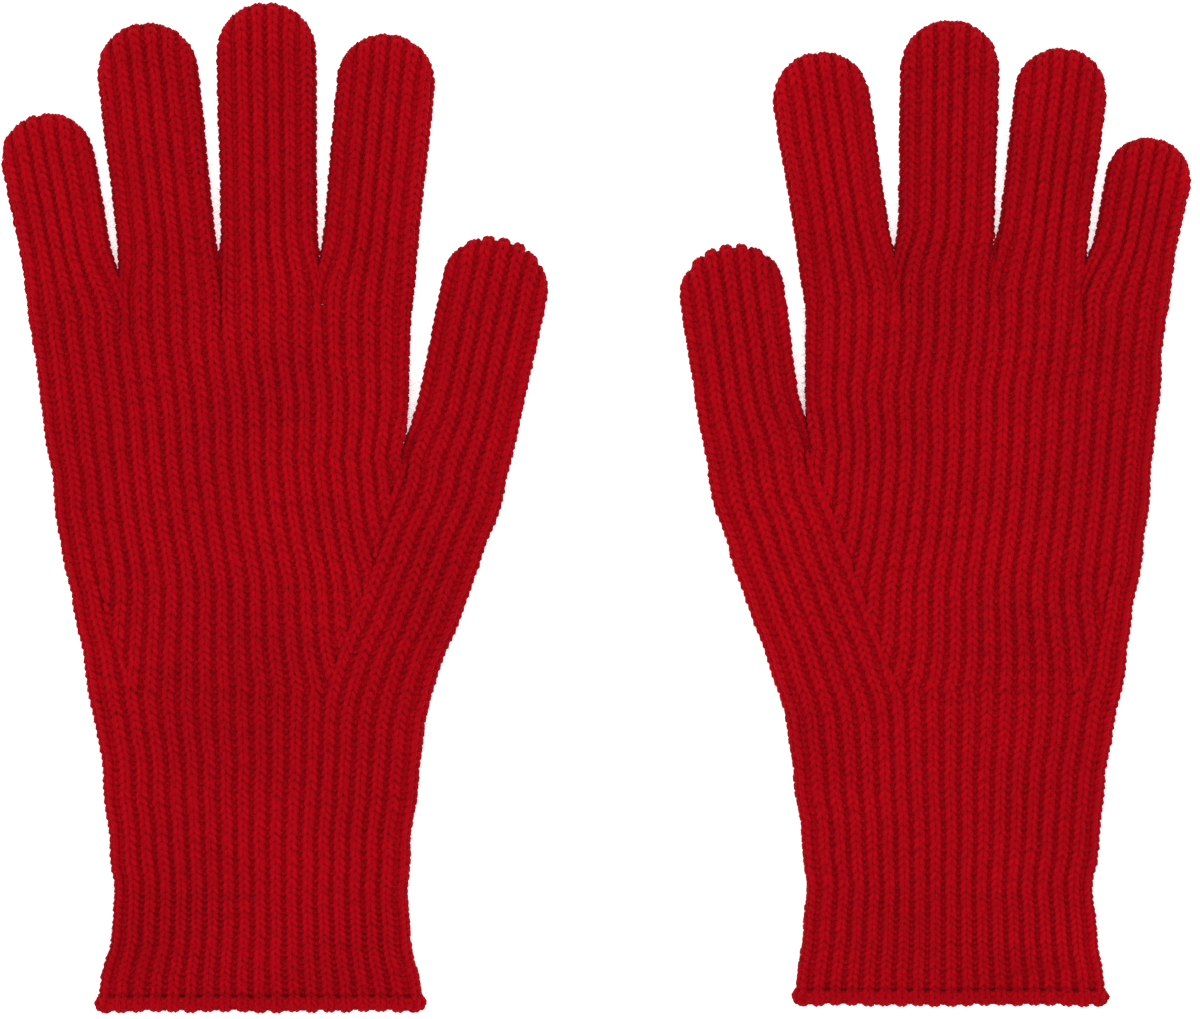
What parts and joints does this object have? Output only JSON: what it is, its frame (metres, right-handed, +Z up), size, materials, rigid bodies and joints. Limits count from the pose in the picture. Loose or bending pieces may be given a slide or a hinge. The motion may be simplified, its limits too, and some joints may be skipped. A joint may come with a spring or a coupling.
{
  "type": "pair of knitted gloves",
  "caption": "Pair of long-cuffed wool gloves in one-by-one rib, lying flat, each with a hand, ribbed thumb gusset, closed finger tubes and a tight rolled-edge cuff.",
  "frame": {"origin": "middle of the pair's footprint, on the surface that the gloves lie on", "axes": "+X across the pair from the right-hand glove to the left-hand glove, +Y towards the fingertips, +Z up out of the palms"},
  "size_m": [0.3449, 0.2912, 0.0108],
  "materials": {
    "rib_knit": "soft brushed wool",
    "cuff_knit": "soft brushed wool, tighter rib",
    "joining_yarn": "plied wool yarn"
  },
  "bodies": {
    "right_hand_body": {"right_hand": "rib_knit", "right_thumb_gusset": "rib_knit", "right_side_gusset": "rib_knit", "right_web_stitches": "joining_yarn"},
    "right_cuff_body": {"right_wrist_tube": "rib_knit", "right_cuff_band": "cuff_knit", "right_cuff_welt": "cuff_knit"},
    "right_little_body": {"right_little_finger": "rib_knit", "right_little_finger_tip_knot": "joining_yarn"},
    "right_ring_body": {"right_ring_finger": "rib_knit", "right_ring_finger_tip_knot": "joining_yarn"},
    "right_middle_body": {"right_middle_finger": "rib_knit", "right_middle_finger_tip_knot": "joining_yarn"},
    "right_index_body": {"right_index_finger": "rib_knit", "right_index_finger_tip_knot": "joining_yarn"},
    "right_thumb_body": {"right_thumb": "rib_knit", "right_thumb_tip_knot": "joining_yarn"},
    "left_hand_body": {"left_hand": "rib_knit", "left_thumb_gusset": "rib_knit", "left_side_gusset": "rib_knit", "left_web_stitches": "joining_yarn"},
    "left_cuff_body": {"left_wrist_tube": "rib_knit", "left_cuff_band": "cuff_knit", "left_cuff_welt": "cuff_knit"},
    "left_little_body": {"left_little_finger": "rib_knit", "left_little_finger_tip_knot": "joining_yarn"},
    "left_ring_body": {"left_ring_finger": "rib_knit", "left_ring_finger_tip_knot": "joining_yarn"},
    "left_middle_body": {"left_middle_finger": "rib_knit", "left_middle_finger_tip_knot": "joining_yarn"},
    "left_index_body": {"left_index_finger": "rib_knit", "left_index_finger_tip_knot": "joining_yarn"},
    "left_thumb_body": {"left_thumb": "rib_knit", "left_thumb_tip_knot": "joining_yarn"}
  },
  "joints": [
    {"name": "right_little_bend", "type": "hinge", "parent": "right_hand_body", "child": "right_little_body", "pos_m": [-0.14995, 0.05324, 0.0108], "axis": [0.9822, 0.1878, 0], "range_deg": [0, 90]},
    {"name": "right_ring_bend", "type": "hinge", "parent": "right_hand_body", "child": "right_ring_body", "pos_m": [-0.1224, 0.05739, 0.0108], "axis": [0.9939, 0.1104, 0], "range_deg": [0, 90]},
    {"name": "right_middle_bend", "type": "hinge", "parent": "right_hand_body", "child": "right_middle_body", "pos_m": [-0.09455, 0.05914, 0.0108], "axis": [0.9999, 0.0144, 0], "range_deg": [0, 90]},
    {"name": "right_index_bend", "type": "hinge", "parent": "right_hand_body", "child": "right_index_body", "pos_m": [-0.0671, 0.05804, 0.0108], "axis": [0.9954, -0.0955, 0], "range_deg": [0, 90]},
    {"name": "right_thumb_bend", "type": "hinge", "parent": "right_hand_body", "child": "right_thumb_body", "pos_m": [-0.04045, 0.00934, 0.0108], "axis": [0.9709, -0.2394, 0], "range_deg": [0, 90]},
    {"name": "right_wrist_bend", "type": "hinge", "parent": "right_hand_body", "child": "right_cuff_body", "pos_m": [-0.09715, -0.05376, 0.0108], "axis": [-1, 0, 0], "range_deg": [0, 80]},
    {"name": "left_little_bend", "type": "hinge", "parent": "left_hand_body", "child": "left_little_body", "pos_m": [0.1528, 0.05689, 0.0108], "axis": [0.9812, -0.1931, 0], "range_deg": [0, 90]},
    {"name": "left_ring_bend", "type": "hinge", "parent": "left_hand_body", "child": "left_ring_body", "pos_m": [0.1277, 0.06089, 0.0108], "axis": [0.9926, -0.1216, 0], "range_deg": [0, 90]},
    {"name": "left_middle_bend", "type": "hinge", "parent": "left_hand_body", "child": "left_middle_body", "pos_m": [0.10125, 0.06274, 0.0108], "axis": [0.9998, -0.0217, 0], "range_deg": [0, 90]},
    {"name": "left_index_bend", "type": "hinge", "parent": "left_hand_body", "child": "left_index_body", "pos_m": [0.07415, 0.06099, 0.0108], "axis": [0.9883, 0.1523, 0], "range_deg": [0, 90]},
    {"name": "left_thumb_bend", "type": "hinge", "parent": "left_hand_body", "child": "left_thumb_body", "pos_m": [0.0463, 0.01324, 0.0108], "axis": [0.9844, 0.1759, 0], "range_deg": [0, 90]},
    {"name": "left_wrist_bend", "type": "hinge", "parent": "left_hand_body", "child": "left_cuff_body", "pos_m": [0.10265, -0.05376, 0.0108], "axis": [-1, 0, 0], "range_deg": [0, 80]},
    {"name": "left_glove_lift", "type": "slide", "parent": "right_hand_body", "child": "left_hand_body", "axis": [0, 0, 1], "range_m": [0, 0.15]}
  ]
}
